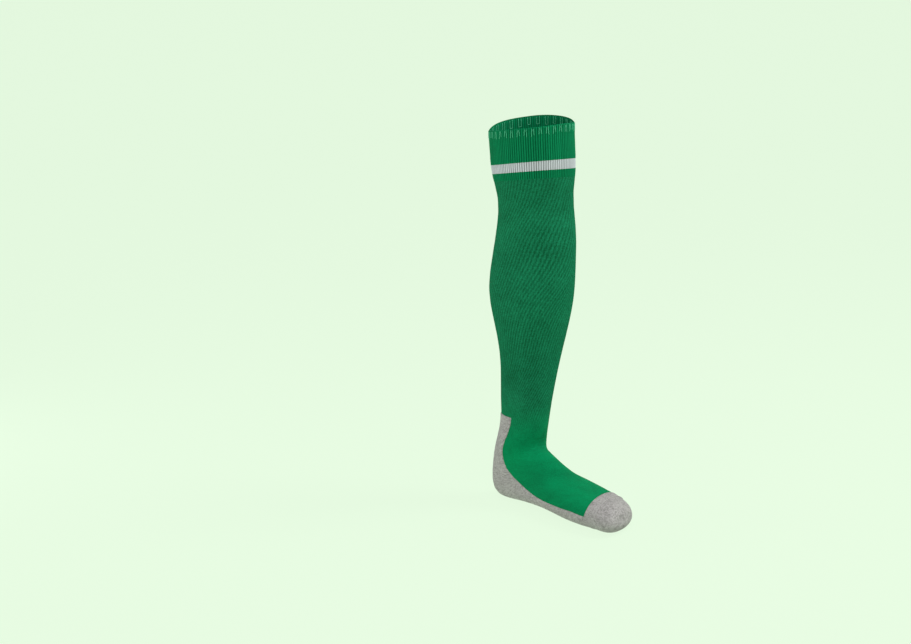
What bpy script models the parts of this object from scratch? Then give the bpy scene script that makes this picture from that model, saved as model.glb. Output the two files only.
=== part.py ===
"""Long knitted sports sock for a left foot, in the shape that it has when worn, hollow and open at the top.

Metres, +Z up. The toes point to -Y and the inner side of the leg to -X. The origin is the centre of the
leg opening. Each knitted zone is a solid of its own: a patch of one smooth inner surface, which has the
sizes below, with the zone's wall on its outside.
"""

import math

import bpy
import numpy as np

# Lengths of the whole sock
LEG_HEIGHT = 0.524
ANKLE_HEIGHT = 0.137
FOOT_LENGTH = 0.245
ANKLE_SETBACK = 0.0445

# Widths and depths of the leg
CUFF_WIDTH = 0.112
CUFF_DEPTH = 0.122
CALF_WIDTH = 0.107
CALF_DEPTH = 0.124
ANKLE_WIDTH = 0.058
ANKLE_DEPTH = 0.078

# Foot
HEEL_WIDTH = 0.064
BALL_WIDTH = 0.090
CREASE_HEIGHT = 0.090
BALL_HEIGHT = 0.040

# Knitted walls
WELT_WALL = 0.0034
CUFF_WALL = 0.0022
LEG_WALL = 0.0016
INSTEP_WALL = 0.0018
HEEL_WALL = 0.0030
SOLE_WALL = 0.0030
TOE_WALL = 0.0026

# Bands of the cuff, measured down from the top edge
WELT_HEIGHT = 0.012
STRIPE_DROP = 0.047
STRIPE_HEIGHT = 0.013
CUFF_HEIGHT = 0.071
RIB_PITCH = 0.0033
RIB_DEPTH = 0.0006
WELT_ROUND = 0.0010

# Toe pocket and its seam
TOE_CAP_LENGTH = 0.045
SEAM_AHEAD = 0.018
SEAM_REACH = 0.47
SEAM_WIDTH = 0.0020
SEAM_CLEARANCE = 0.0005
SEAM_RISE = 0.0009

# Cut of the mesh
GAP = 0.0003
LEG_STEP = 0.0220
FOOT_STEP = 0.0125
HEEL_STEP = 0.0100
TOE_STEP = 0.0088
GREY_COLUMNS = 19
GREEN_COLUMNS = 17
SEAM_STEPS = 26
QUARTER_STEPS = 32
SLOPE_STEP = 0.0015
SLOPE_TURN = 0.006
LIFT_EASE = 0.18
HALVINGS = 40
SHARP_ANGLE = math.radians(40.0)

WIDTHS = {
    "cuff": CUFF_WIDTH,
    "calf": CALF_WIDTH,
    "ankle": ANKLE_WIDTH,
    "heel": HEEL_WIDTH,
    "ball": BALL_WIDTH,
}
DEPTHS = {"cuff": CUFF_DEPTH, "calf": CALF_DEPTH, "ankle": ANKLE_DEPTH}
HEIGHTS = {"heel": CREASE_HEIGHT, "ball": BALL_HEIGHT}

# Sections of the leg, top to bottom. rise is a share of the leg above the ankle, width and depth are
# shares of the size named in follows, forward and outward are shares of its depth and width, lean and
# tilt are in degrees, front up and outer side up, lift is how far the outer back corner is pulled up, as a
# share of the depth, falling evenly to nothing at the corners beside it, widest is where along the depth
# the section is widest, shin and calf are superellipse powers.
LEG_COLUMNS = "rise follows width depth forward outward lean tilt lift widest shin calf".split()
LEG_SECTIONS = (
    (1.000, "cuff", 0.98, 0.98, 0.06, 0.04, 9.8, -1.1, 0.130, 0.50, 2.0, 2.0),
    (0.885, "cuff", 0.98, 0.97, 0.07, 0.055, 9.3, -1.6, 0.070, 0.50, 2.0, 2.0),
    (0.815, "cuff", 0.95, 0.91, 0.07, 0.08, 9.0, -3.0, 0.030, 0.50, 2.0, 2.0),
    (0.752, "calf", 0.93, 0.83, 0.06, 0.11, 7.0, -2.0, 0.010, 0.50, 2.0, 2.0),
    (0.685, "calf", 0.92, 0.87, 0.04, 0.14, 4.0, -1.0, 0.000, 0.50, 2.0, 2.0),
    (0.608, "calf", 0.94, 0.95, 0.02, 0.155, 1.0, 0.0, 0.000, 0.51, 2.0, 2.0),
    (0.515, "calf", 0.98, 1.00, -0.005, 0.145, 0.0, 0.0, 0.000, 0.52, 2.0, 2.0),
    (0.412, "calf", 1.02, 1.00, -0.015, 0.120, 0.0, 0.0, 0.000, 0.52, 2.0, 2.0),
    (0.293, "calf", 0.92, 0.84, -0.01, 0.11, 0.0, 0.0, 0.000, 0.51, 2.0, 2.0),
    (0.175, "calf", 0.735, 0.70, 0.00, 0.075, 0.0, 0.0, 0.000, 0.50, 2.0, 2.0),
    (0.087, "ankle", 1.15, 1.05, 0.00, 0.065, 0.0, 0.0, 0.000, 0.50, 2.0, 2.0),
    (0.000, "ankle", 1.01, 1.00, -0.005, 0.00, 0.0, 0.0, 0.000, 0.50, 2.0, 2.0),
)

# Sections of the foot, from the ankle round the heel to the toes. top and sole run forward as shares of
# the foot's length, top_rise, sole_rise and width are shares of the height and width of what the row
# follows, outward a share of the ball's width, skew is in degrees, inner side forward.
FOOT_COLUMNS = "follows top top_rise sole sole_rise width outward skew widest upper lower".split()
FOOT_SECTIONS = (
    ("heel", 0.331, 1.19, 0.034, 1.20, 0.88, -0.04, 0.0, 0.50, 2.0, 2.0),
    ("heel", 0.318, 1.03, 0.034, 0.98, 0.99, -0.065, 0.0, 0.50, 2.0, 2.0),
    ("heel", 0.315, 0.92, 0.012, 0.72, 1.03, -0.075, 0.0, 0.50, 2.0, 2.0),
    ("heel", 0.334, 0.865, -0.007, 0.45, 0.99, -0.08, 0.0, 0.52, 2.0, 2.0),
    ("heel", 0.372, 0.835, -0.008, 0.20, 0.97, -0.08, 0.0, 0.55, 2.0, 2.2),
    ("heel", 0.412, 0.795, 0.022, 0.05, 0.97, -0.08, 0.0, 0.58, 2.0, 2.3),
    ("heel", 0.448, 0.745, 0.105, 0.005, 0.98, -0.075, 0.0, 0.62, 2.0, 2.3),
    ("heel", 0.487, 0.685, 0.215, 0.02, 1.00, -0.06, 0.0, 0.65, 2.0, 2.2),
    ("ball", 0.535, 1.37, 0.345, 0.09, 0.77, -0.05, 1.0, 0.65, 2.0, 2.2),
    ("ball", 0.610, 1.25, 0.485, 0.09, 0.84, -0.04, 4.0, 0.65, 2.0, 2.2),
    ("ball", 0.690, 1.125, 0.610, 0.035, 0.91, -0.03, 9.0, 0.65, 2.1, 2.3),
    ("ball", 0.765, 1.03, 0.720, 0.00, 0.94, -0.03, 14.0, 0.63, 2.1, 2.3),
    ("ball", 0.835, 0.945, 0.820, 0.00, 0.92, -0.035, 17.0, 0.60, 2.1, 2.3),
    ("ball", 0.908, 0.865, 0.908, 0.00, 0.84, -0.05, 19.0, 0.57, 2.1, 2.3),
    ("ball", 0.962, 0.745, 0.976, 0.01, 0.74, -0.060, 19.0, 0.54, 2.0, 2.2),
    ("ball", 0.992, 0.59, 1.004, 0.09, 0.55, -0.065, 18.0, 0.50, 2.0, 2.1),
    ("ball", 1.005, 0.42, 1.012, 0.19, 0.36, -0.07, 18.0, 0.50, 2.0, 2.0),
    ("ball", 1.011, 0.34, 1.014, 0.26, 0.17, -0.07, 18.0, 0.50, 2.0, 2.0),
)

# Edge of the grey zones: along is a share of the way from the top of the heel tab to the toe cap, reach is
# how far the grey goes from the middle of the back or sole, as a share of half the girth.
GREY_EDGE_COLUMNS = "along reach".split()
GREY_EDGE = (
    (0.00, 0.54),
    (0.10, 0.52),
    (0.20, 0.505),
    (0.30, 0.54),
    (0.42, 0.55),
    (0.55, 0.48),
    (0.70, 0.46),
    (0.85, 0.505),
    (1.00, 0.555),
)

# Where the heel tab starts, where the leg ends and where the heel ends, as lengths along the sock that are
# measured from the end of the leg's sections
TAB_BELOW_ANKLE = 0.016
LEG_END_BELOW_ANKLE = 0.026
HEEL_END_BELOW_ANKLE = 0.118

GREEN = (0.006, 0.150, 0.062, 1.0)
WHITE = (0.72, 0.73, 0.74, 1.0)
GREY = (0.36, 0.38, 0.38, 1.0)


def natural_spline(knots, values):
    """Natural cubic spline through the values at the knots, as a function of one number."""
    n = len(knots)
    steps = np.diff(knots)
    slopes = np.diff(values) / steps
    system = np.eye(n)
    right = np.zeros(n)
    for k in range(1, n - 1):
        system[k, k - 1] = steps[k - 1]
        system[k, k] = 2 * (steps[k - 1] + steps[k])
        system[k, k + 1] = steps[k]
        right[k] = 6 * (slopes[k] - slopes[k - 1])
    bends = np.linalg.solve(system, right)

    def at(x):
        k = min(max(int(np.searchsorted(knots, x)) - 1, 0), n - 2)
        left = x - knots[k]
        ahead = knots[k + 1] - x
        h = steps[k]
        curve = (bends[k] * ahead**3 + bends[k + 1] * left**3) / (6 * h)
        line = (values[k] / h - bends[k] * h / 6) * ahead
        return curve + line + (values[k + 1] / h - bends[k + 1] * h / 6) * left

    return at


def leg_row(section):
    """One section of the leg as the numbers that the skin is made of."""
    row = dict(zip(LEG_COLUMNS, section))
    width = row["width"] * WIDTHS[row["follows"]]
    depth = row["depth"] * DEPTHS[row["follows"]]
    height = ANKLE_HEIGHT + row["rise"] * (LEG_HEIGHT - ANKLE_HEIGHT)
    centre = ANKLE_SETBACK + row["forward"] * DEPTHS[row["follows"]]
    lean = math.radians(row["lean"])
    along = depth / 2 * math.cos(lean)
    up = depth / 2 * math.sin(lean)
    outward = row["outward"] * WIDTHS[row["follows"]]
    tilt = math.tan(math.radians(row["tilt"]))
    lift = row["lift"] * DEPTHS[row["follows"]]
    ends = (centre + along, height + up, centre - along, height - up)
    return (*ends, outward, width / 2, row["widest"], row["shin"], row["calf"], tilt, lift, 0.0)


def foot_row(section):
    """One section of the foot as the numbers that the skin is made of."""
    row = dict(zip(FOOT_COLUMNS, section))
    width = row["width"] * WIDTHS[row["follows"]]
    height = HEIGHTS[row["follows"]]
    top = (row["top"] * FOOT_LENGTH, row["top_rise"] * height)
    sole = (row["sole"] * FOOT_LENGTH, row["sole_rise"] * height)
    outward = row["outward"] * BALL_WIDTH
    skew = math.tan(math.radians(row["skew"]))
    round_off = (row["widest"], row["upper"], row["lower"])
    return (*top, *sole, outward, width / 2, *round_off, 0.0, 0.0, skew)


class Skin:
    """The inner surface. A point is given by the length along the sock from its top edge and by the share
    of the girth, from 0 in the middle of the back or sole, over the inner side to 0.5 at the front."""

    def __init__(self):
        rows = [leg_row(s) for s in LEG_SECTIONS] + [foot_row(s) for s in FOOT_SECTIONS]
        table = np.array(rows)
        front = np.linalg.norm(np.diff(table[:, 0:2], axis=0), axis=1)
        back = np.linalg.norm(np.diff(table[:, 2:4], axis=0), axis=1)
        self.knots = np.concatenate([[0.0], np.cumsum((front + back) / 2)])
        self.curves = [natural_spline(self.knots, table[:, k]) for k in range(table.shape[1])]
        self.ankle = self.knots[len(LEG_SECTIONS) - 1]
        self.length = self.knots[-1]
        mouth = [c(0.0) for c in self.curves]
        self.origin = np.array([mouth[4], -(mouth[0] + mouth[2]) / 2, (mouth[1] + mouth[3]) / 2])

    def half(self, row, side):
        """Points of one half of a section, from the front to the back, with their arc lengths."""
        front_y, front_z, back_y, back_z, outward, width, widest, upper, lower = row[:9]
        tilt, lift, skew = row[9:]
        angles = np.linspace(0.0, math.pi / 2, QUARTER_STEPS + 1)
        away = np.sin(angles) ** (2 / upper)
        deep = widest * (1 - np.cos(angles) ** (2 / upper))
        away_low = np.cos(angles[1:]) ** (2 / lower)
        deep_low = widest + (1 - widest) * np.sin(angles[1:]) ** (2 / lower)
        away = np.concatenate([away, away_low])
        deep = np.concatenate([deep, deep_low])
        points = np.empty((len(away), 3))
        aside = side * width * away
        to_corner = (side * away + 2 * deep - 1) / math.sqrt(2)
        points[:, 0] = outward + aside
        points[:, 1] = -(front_y + (back_y - front_y) * deep) + aside * skew
        points[:, 2] = front_z + (back_z - front_z) * deep + aside * tilt
        points[:, 2] += lift * (to_corner + np.sqrt(to_corner**2 + LIFT_EASE**2)) / 2
        lengths = np.concatenate([[0.0], np.cumsum(np.linalg.norm(np.diff(points, axis=0), axis=1))])
        return points - self.origin, lengths / lengths[-1]

    def ring(self, along, shares):
        """Points of one section at the given shares of the girth."""
        row = [c(along) for c in self.curves]
        shares = np.asarray(shares) % 1.0
        ring = np.empty((len(shares), 3))
        for side in (-1, 1):
            chosen = shares <= 0.5 if side < 0 else shares > 0.5
            points, lengths = self.half(row, side)
            from_front = np.abs(0.5 - shares[chosen]) * 2
            for axis in range(3):
                ring[chosen, axis] = np.interp(from_front, lengths, points[:, axis])
        return ring

    def patch(self, alongs, shares):
        """Points and outward normals on a grid, one row of shares for each length along the sock."""
        points = np.array([self.ring(a, s) for a, s in zip(alongs, shares)])
        normals = []
        for a, s in zip(alongs, shares):
            low = self.ring(max(a - SLOPE_STEP, 0.0), s)
            high = self.ring(min(a + SLOPE_STEP, self.length), s)
            before = self.ring(a, np.asarray(s) - SLOPE_TURN)
            after = self.ring(a, np.asarray(s) + SLOPE_TURN)
            normal = np.cross(high - low, after - before)
            normals.append(normal / np.linalg.norm(normal, axis=1)[:, None])
        return points, np.array(normals)


SKIN = Skin()
TAB_TOP = SKIN.ankle + TAB_BELOW_ANKLE
LEG_END = SKIN.ankle + LEG_END_BELOW_ANKLE
HEEL_END = SKIN.ankle + HEEL_END_BELOW_ANKLE


def toe_cap_start():
    """Length along the sock at which the top of the foot reaches the toe cap."""
    low, high = SKIN.ankle, SKIN.length
    for _ in range(HALVINGS):
        middle = (low + high) / 2
        reach = (SKIN.curves[0](middle) + SKIN.curves[2](middle)) / 2
        if reach < FOOT_LENGTH - TOE_CAP_LENGTH:
            low = middle
        else:
            high = middle
    return (low + high) / 2


def grey_reach():
    """How far the grey zones go round the sock, as a function of the way from the heel tab to the toes."""
    rows = [dict(zip(GREY_EDGE_COLUMNS, row)) for row in GREY_EDGE]
    ways = np.array([row["along"] for row in rows])
    return natural_spline(ways, np.array([row["reach"] for row in rows]))


TOE_START = toe_cap_start()
GREY_REACH = grey_reach()


def material(name, colour, roughness):
    made = bpy.data.materials.new(name)
    made.use_nodes = True
    shader = made.node_tree.nodes["Principled BSDF"]
    shader.inputs["Base Color"].default_value = colour
    shader.inputs["Roughness"].default_value = roughness
    shader.inputs["Metallic"].default_value = 0.0
    made.diffuse_color = colour
    return made


def add_object(name, points, faces, colour, roughness=0.9):
    mesh = bpy.data.meshes.new(name)
    mesh.from_pydata([tuple(p) for p in points], [], faces)
    mesh.validate()
    mesh.shade_smooth()
    mesh.set_sharp_from_angle(angle=SHARP_ANGLE)
    made = bpy.data.objects.new(name, mesh)
    made.data.materials.append(material(name, colour, roughness))
    bpy.context.scene.collection.objects.link(made)
    return made


def rows_between(start, end, step):
    count = max(1, round((end - start) / step))
    return [start + (end - start) * k / count for k in range(count + 1)]


COLUMNS = GREY_COLUMNS + GREEN_COLUMNS
GREY_ZONE = range(GREY_COLUMNS)
GREEN_ZONE = range(GREY_COLUMNS, COLUMNS)
TAB_ROWS = rows_between(TAB_TOP, LEG_END, FOOT_STEP)
HEEL_ROWS = rows_between(LEG_END, HEEL_END, HEEL_STEP)
SOLE_ROWS = rows_between(HEEL_END, TOE_START, FOOT_STEP)


def columns_at(along):
    """Shares of the girth of the columns, starting at the inner edge of the grey zone."""
    way = (along - TAB_TOP) / (TOE_START - TAB_TOP)
    reach = GREY_REACH(min(max(way, 0.0), 1.0)) / 2
    even = GREY_COLUMNS / COLUMNS / 2
    reach += (even - reach) * max(along - TOE_START, 0.0) / (SKIN.length - TOE_START)
    grey = np.linspace(-reach, reach, GREY_COLUMNS + 1)[:-1]
    green = np.linspace(reach, 1 - reach, GREEN_COLUMNS + 1)[:-1]
    return np.concatenate([grey, green])


def closing_faces(ring):
    """Faces across the last ring of the toe, from its inner side to its outer side."""
    first = COLUMNS // 4 + GREY_COLUMNS // 2
    half = COLUMNS // 2
    top = [ring[(first + k) % COLUMNS] for k in range(half + 1)]
    low = [ring[(first - k) % COLUMNS] for k in range(half + 1)]
    faces = [(top[0], low[1], top[1])]
    for k in range(1, half - 1):
        faces.append((top[k], low[k], low[k + 1], top[k + 1]))
    faces.append((top[half - 1], low[half - 1], top[half]))
    return faces


def shell(name, alongs, cells, wall, colour, closed_toe=False):
    """A solid wall over the cells (row, column) of the grid, drawn back by half a gap at its edges."""
    shares = [columns_at(a) for a in alongs]
    points, normals = SKIN.patch(alongs, shares)
    middles = {}
    for row, column in cells:
        after = (column + 1) % COLUMNS
        corners = ((row, column), (row + 1, column), (row + 1, after), (row, after))
        middle = sum(points[c] for c in corners) / 4
        for corner in corners:
            middles.setdefault(corner, []).append(middle)
    number = {corner: k for k, corner in enumerate(sorted(middles))}
    faces_out = []
    for row, column in cells:
        after = (column + 1) % COLUMNS
        corners = ((row, column), (row + 1, column), (row + 1, after), (row, after))
        faces_out.append(tuple(number[c] for c in corners))
    if closed_toe:
        faces_out += closing_faces([number[(len(alongs) - 1, c)] for c in range(COLUMNS)])
    sides = {pair for face in faces_out for pair in zip(face, face[1:] + face[:1])}
    edges = sorted(pair for pair in sides if (pair[1], pair[0]) not in sides)
    on_edge = {k for pair in edges for k in pair}
    inner = np.array([points[c] for c in number])
    out = np.array([normals[c] for c in number])
    for corner, k in number.items():
        if k in on_edge:
            inward = sum(middles[corner]) / len(middles[corner]) - inner[k]
            inward -= out[k] * inward.dot(out[k])
            inner[k] += inward / np.linalg.norm(inward) * GAP / 2
    outer = inner + out * wall
    count = len(number)
    faces = list(faces_out)
    faces += [tuple(k + count for k in reversed(face)) for face in faces_out]
    faces += [(b, a, a + count, b + count) for a, b in edges]
    return add_object(name, np.concatenate([outer, inner]), faces, colour)


def faces_between(upper, lower):
    """Faces between two closed loops of the same count, seen from outside."""
    count = len(upper)
    faces = []
    for k in range(count):
        after = (k + 1) % count
        faces.append((upper[k], lower[k], lower[after], upper[after]))
    return faces


def zipper(loop, other):
    """Triangles between two closed loops of different counts that start at the same angle."""
    faces = []
    i = j = 0
    n, m = len(loop), len(other)
    while i < n or j < m:
        if j >= m or (i < n and (i + 1) / n <= (j + 1) / m):
            faces.append((loop[i % n], loop[(i + 1) % n], other[j % m]))
            i += 1
        else:
            faces.append((loop[i % n], other[(j + 1) % m], other[j % m]))
            j += 1
    return faces


def ribbed_band(name, start, end, wall, colour, rounding=0.0):
    """A closed band of the cuff: upright ribs outside, smooth inside, rounded at a top edge."""
    girth = math.pi * (CUFF_WIDTH + CUFF_DEPTH) / 2
    ribs = round(girth / RIB_PITCH)
    alongs = [start + GAP / 2, end - GAP / 2]
    pull = [0.0, 0.0]
    if rounding:
        alongs = [start, start + rounding, end - GAP / 2]
        pull = [rounding, 0.0, 0.0]
    many = np.arange(2 * ribs) / (2 * ribs)
    few = np.arange(COLUMNS) / COLUMNS
    valley = np.where(np.arange(2 * ribs) % 2 == 0, 0.0, RIB_DEPTH)
    points = []
    outer_rings = []
    inner_rings = []
    for ring, normals, back in zip(*SKIN.patch(alongs, [many] * len(alongs)), pull):
        outer_rings.append(range(len(points), len(points) + len(ring)))
        points += list(ring + normals * (wall - valley - back)[:, None])
    for ring, normals, back in zip(*SKIN.patch(alongs, [few] * len(alongs)), pull):
        inner_rings.append(range(len(points), len(points) + len(ring)))
        points += list(ring + normals * back)
    faces = []
    for upper, lower in zip(outer_rings, outer_rings[1:]):
        faces += faces_between(upper, lower)
    for upper, lower in zip(inner_rings, inner_rings[1:]):
        faces += faces_between(lower, upper)
    faces += zipper(outer_rings[0], inner_rings[0])
    faces += zipper(inner_rings[-1], outer_rings[-1])
    return add_object(name, points, faces, colour)


def cuff():
    stripe_end = STRIPE_DROP + STRIPE_HEIGHT
    ribbed_band("welt", 0.0, WELT_HEIGHT, WELT_WALL, GREEN, WELT_ROUND)
    ribbed_band("cuff_upper", WELT_HEIGHT, STRIPE_DROP, CUFF_WALL, GREEN)
    ribbed_band("cuff_stripe", STRIPE_DROP, stripe_end, CUFF_WALL, WHITE)
    ribbed_band("cuff_lower", stripe_end, CUFF_HEIGHT, CUFF_WALL, GREEN)


def zone_cells(alongs, zone):
    return [(row, column) for row in range(len(alongs) - 1) for column in zone]


def leg():
    tube = rows_between(CUFF_HEIGHT, TAB_TOP, LEG_STEP)
    cells = zone_cells(tube, range(COLUMNS))
    beside_tab = zone_cells(TAB_ROWS, GREEN_ZONE)
    cells += [(row + len(tube) - 1, column) for row, column in beside_tab]
    shell("leg", tube + TAB_ROWS[1:], cells, LEG_WALL, GREEN)


def foot():
    upper = HEEL_ROWS + SOLE_ROWS[1:]
    shell("instep", upper, zone_cells(upper, GREEN_ZONE), INSTEP_WALL, GREEN)
    pocket = TAB_ROWS + HEEL_ROWS[1:]
    shell("heel", pocket, zone_cells(pocket, GREY_ZONE), HEEL_WALL, GREY)
    shell("sole", SOLE_ROWS, zone_cells(SOLE_ROWS, GREY_ZONE), SOLE_WALL, GREY)
    toes = rows_between(TOE_START, SKIN.length, TOE_STEP)
    shell("toe_cap", toes, zone_cells(toes, range(COLUMNS)), TOE_WALL, GREY, closed_toe=True)


def toe_seam():
    """A low ridge across the top of the toes, from side to side, on the toe cap."""
    middle = TOE_START + SEAM_AHEAD
    shares = 0.5 + SEAM_REACH / 2 * np.linspace(-1.0, 1.0, SEAM_STEPS + 1)
    alongs = [middle - SEAM_WIDTH / 2, middle, middle + SEAM_WIDTH / 2]
    points, normals = SKIN.patch(alongs, [shares] * 3)
    low = TOE_WALL + SEAM_CLEARANCE
    high = low + SEAM_RISE
    half = (low + high) / 2
    lifts = ((0, low), (1, low), (2, low), (2, half), (1, high), (0, half))
    rings = [[points[r][k] + normals[r][k] * lift for r, lift in lifts] for k in range(len(shares))]
    flat = [p for ring in rings for p in ring]
    n = len(lifts)
    faces = []
    for k in range(len(rings) - 1):
        for c in range(n):
            after = (c + 1) % n
            faces.append((k * n + c, (k + 1) * n + c, (k + 1) * n + after, k * n + after))
    faces.append(tuple(range(n)))
    faces.append(tuple(reversed(range((len(rings) - 1) * n, len(rings) * n))))
    add_object("toe_seam", flat, faces, GREY)


def main():
    for old in list(bpy.data.objects):
        bpy.data.objects.remove(old, do_unlink=True)
    cuff()
    leg()
    foot()
    toe_seam()


if __name__ == "__main__":
    main()
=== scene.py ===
"""Long knitted sports sock in the shape that it has when worn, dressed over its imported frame.

Every knitted zone is a closed shell of its own. All of them are cut from one smooth skin, which is measured
in the frame's hollow along rays from its middle, so they follow the solids and meet without a step. Lengths
are in metres. A place on the skin is a station, counted from the top edge down the leg and along the foot
to the tip of the toes, and a share of the girth, from 0 in the middle of the back or sole over the inner
side to 0.5 at the front.
"""

import math

import bpy
import numpy as np
from bpy.props import FloatProperty, FloatVectorProperty, IntProperty, PointerProperty
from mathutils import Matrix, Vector
from mathutils.bvhtree import BVHTree


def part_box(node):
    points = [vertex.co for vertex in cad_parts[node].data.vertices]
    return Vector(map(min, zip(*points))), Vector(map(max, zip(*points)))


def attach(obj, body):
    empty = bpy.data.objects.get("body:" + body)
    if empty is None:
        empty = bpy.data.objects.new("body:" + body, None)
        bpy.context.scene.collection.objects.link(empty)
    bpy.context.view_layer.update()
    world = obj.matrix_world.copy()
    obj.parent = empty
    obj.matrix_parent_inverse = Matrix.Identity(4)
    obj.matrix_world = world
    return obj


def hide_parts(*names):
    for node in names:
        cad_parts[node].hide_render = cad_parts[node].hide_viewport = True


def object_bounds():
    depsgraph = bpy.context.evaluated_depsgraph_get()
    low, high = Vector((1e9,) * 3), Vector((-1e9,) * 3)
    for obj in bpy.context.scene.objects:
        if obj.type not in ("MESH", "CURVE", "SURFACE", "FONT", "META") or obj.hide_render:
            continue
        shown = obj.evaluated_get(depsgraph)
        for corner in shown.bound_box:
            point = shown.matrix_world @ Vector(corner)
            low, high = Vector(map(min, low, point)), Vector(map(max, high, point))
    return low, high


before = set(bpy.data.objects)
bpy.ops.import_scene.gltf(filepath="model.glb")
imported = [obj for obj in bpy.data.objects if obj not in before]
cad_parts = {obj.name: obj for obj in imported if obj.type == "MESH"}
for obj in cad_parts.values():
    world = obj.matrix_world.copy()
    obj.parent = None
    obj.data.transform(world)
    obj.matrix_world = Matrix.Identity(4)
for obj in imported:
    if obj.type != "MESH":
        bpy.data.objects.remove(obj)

bl_info = {
    "name": "Sports Sock",
    "version": (1, 0, 0),
    "blender": (4, 5, 0),
    "location": "View3D > Sidebar > Sock",
    "description": "Dresses the packed frame of a long sports sock as knitted pieces",
    "category": "Object",
}

CAD_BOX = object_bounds()
BODY = "root"
UV_NAME = "knit"

# How the skin is measured
LEG_STEP = 0.004
FOOT_STEP = 0.004
TURN_STEPS = 48
TOE_STEPS = 24
TOE_CENTRE_BACK = 0.034
PIVOT_FORWARD = 0.27
PIVOT_RISE = 0.81
DIRECTIONS = 144
BACK_REACH = DIRECTIONS // 5
REACH = 0.12
SMOOTH_STATIONS = 2.0
SMOOTH_DIRECTIONS = 2.0
SMOOTH_BORDER = 2.5
SLOPE_STATIONS = 3
NORMAL_STEP = 0.35
BORDER_OVERLAP = 3
EDGE_ROUNDS = 4
HALVINGS = 10

# Where the soft top edge stands higher or lower than the solid's: share of the girth, width of the wave in
# shares and height
RIM_WAVES = (
    (0.02, 0.10, 0.0022),
    (0.84, 0.14, 0.0016),
    (0.38, 0.11, -0.0018),
)

# Walls over the skin, and how fine the pieces are
WELT_WALL = 0.0021
CUFF_WALL = 0.0019
LEG_WALL = 0.0014
GREY_WALL = 0.0024
POINTS_PER_RIB = 8
POINTS_PER_WALE = 4
RIB_ROUNDNESS = 2.4
WALE_FADE = 0.05
SHARP_ANGLE = math.radians(70.0)

# Share of a padded wall that is left at its rounded edges, and how far the instep runs under them, as a
# share of the girth
EDGE_WALL = 0.45
UNDER_EDGE = 0.006

# Pale threads in the top edge: heights over the wall, sides of a round thread and the step of its twist,
# which also spaces the painted shade along it
THREAD_RISE = 0.0001
THREAD_SIDES = 6
THREAD_TWIST_STEP = 0.25

# Knit in stitches: where a stitch's legs meet, the spacing of the slanting strokes across and down, how much
# they wander, and the sizes of the soft clouds of tone
STITCH_SLANT = 0.55
STROKE_WALES = 3.5
STROKE_COURSES = 9
STROKE_DRIFT = 6
DRIFT_SCALE = 0.012
GREEN_CLOUD = 0.03
GREY_CLOUD = 0.1
FLECK_WIDTH = 0.45

# Lamps: name, azimuth and elevation in degrees, distance, size and power in watts
LAMPS = (
    ("soft_right", 56.0, 50.0, 1.9, (0.7, 1.2), 29.0),
    ("soft_left", -142.0, 2.0, 1.3, (0.5, 0.4), 6.0),
    ("soft_front", -40.0, 26.0, 2.6, (1.2, 1.2), 30.0),
    ("soft_top", -60.0, 72.0, 2.0, (0.9, 0.9), 8.0),
)
MIDDLE = Vector((0.0, -0.05, -0.26))
WORLD_TINT = (0.94, 1.0, 0.93)
WORLD_LIGHT = 0.3


def smooth(values, sigma, axis, around):
    """Gaussian blur of an array along one axis, which runs around or ends."""
    reach = int(math.ceil(3 * sigma))
    weights = np.exp(-0.5 * (np.arange(-reach, reach + 1) / sigma) ** 2)
    weights /= weights.sum()
    mode = "wrap" if around else "reflect"
    width = [(0, 0)] * values.ndim
    width[axis] = (reach, reach)
    padded = np.pad(values, width, mode=mode, **({} if around else {"reflect_type": "odd"}))
    result = np.zeros_like(values)
    for k, weight in enumerate(weights):
        part = [slice(None)] * values.ndim
        part[axis] = slice(k, k + values.shape[axis])
        result += weight * padded[tuple(part)]
    return result


def smooth_keeping_size(values, sigma, axis, around):
    """Blur that gives back most of what a round form loses to it."""
    once = smooth(values, sigma, axis, around)
    return once + (once - smooth(once, sigma, axis, around))


def cubic_weights(fraction):
    """Weights of the four neighbours of a place between two samples."""
    t = fraction[..., None]
    before = -0.5 * t**3 + t**2 - 0.5 * t
    near = 1.5 * t**3 - 2.5 * t**2 + 1
    far = -1.5 * t**3 + 2 * t**2 + 0.5 * t
    after = 0.5 * t**3 - 0.5 * t**2
    return np.concatenate([before, near, far, after], axis=-1)


class Hollow:
    """The frame's solids as one tree of faces, each of which knows its node."""

    def __init__(self):
        points = []
        faces = []
        self.names = []
        for name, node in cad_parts.items():
            if name == "toe_seam":
                continue
            start = len(points)
            points += [node.matrix_world @ v.co for v in node.data.vertices]
            for polygon in node.data.polygons:
                faces.append([start + k for k in polygon.vertices])
                self.names.append(name)
        self.tree = BVHTree.FromPolygons(points, faces)

    def look(self, origin, direction):
        """Distance to the first wall and the node that it belongs to."""
        _, _, index, distance = self.tree.ray_cast(Vector(origin), Vector(direction), REACH)
        if index is None:
            return None, None
        return distance, self.names[index]

    def width(self, origin, direction):
        """Distances to the walls ahead and behind."""
        ahead, _ = self.look(origin, direction)
        behind, _ = self.look(origin, -np.asarray(direction))
        return ahead, behind


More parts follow.
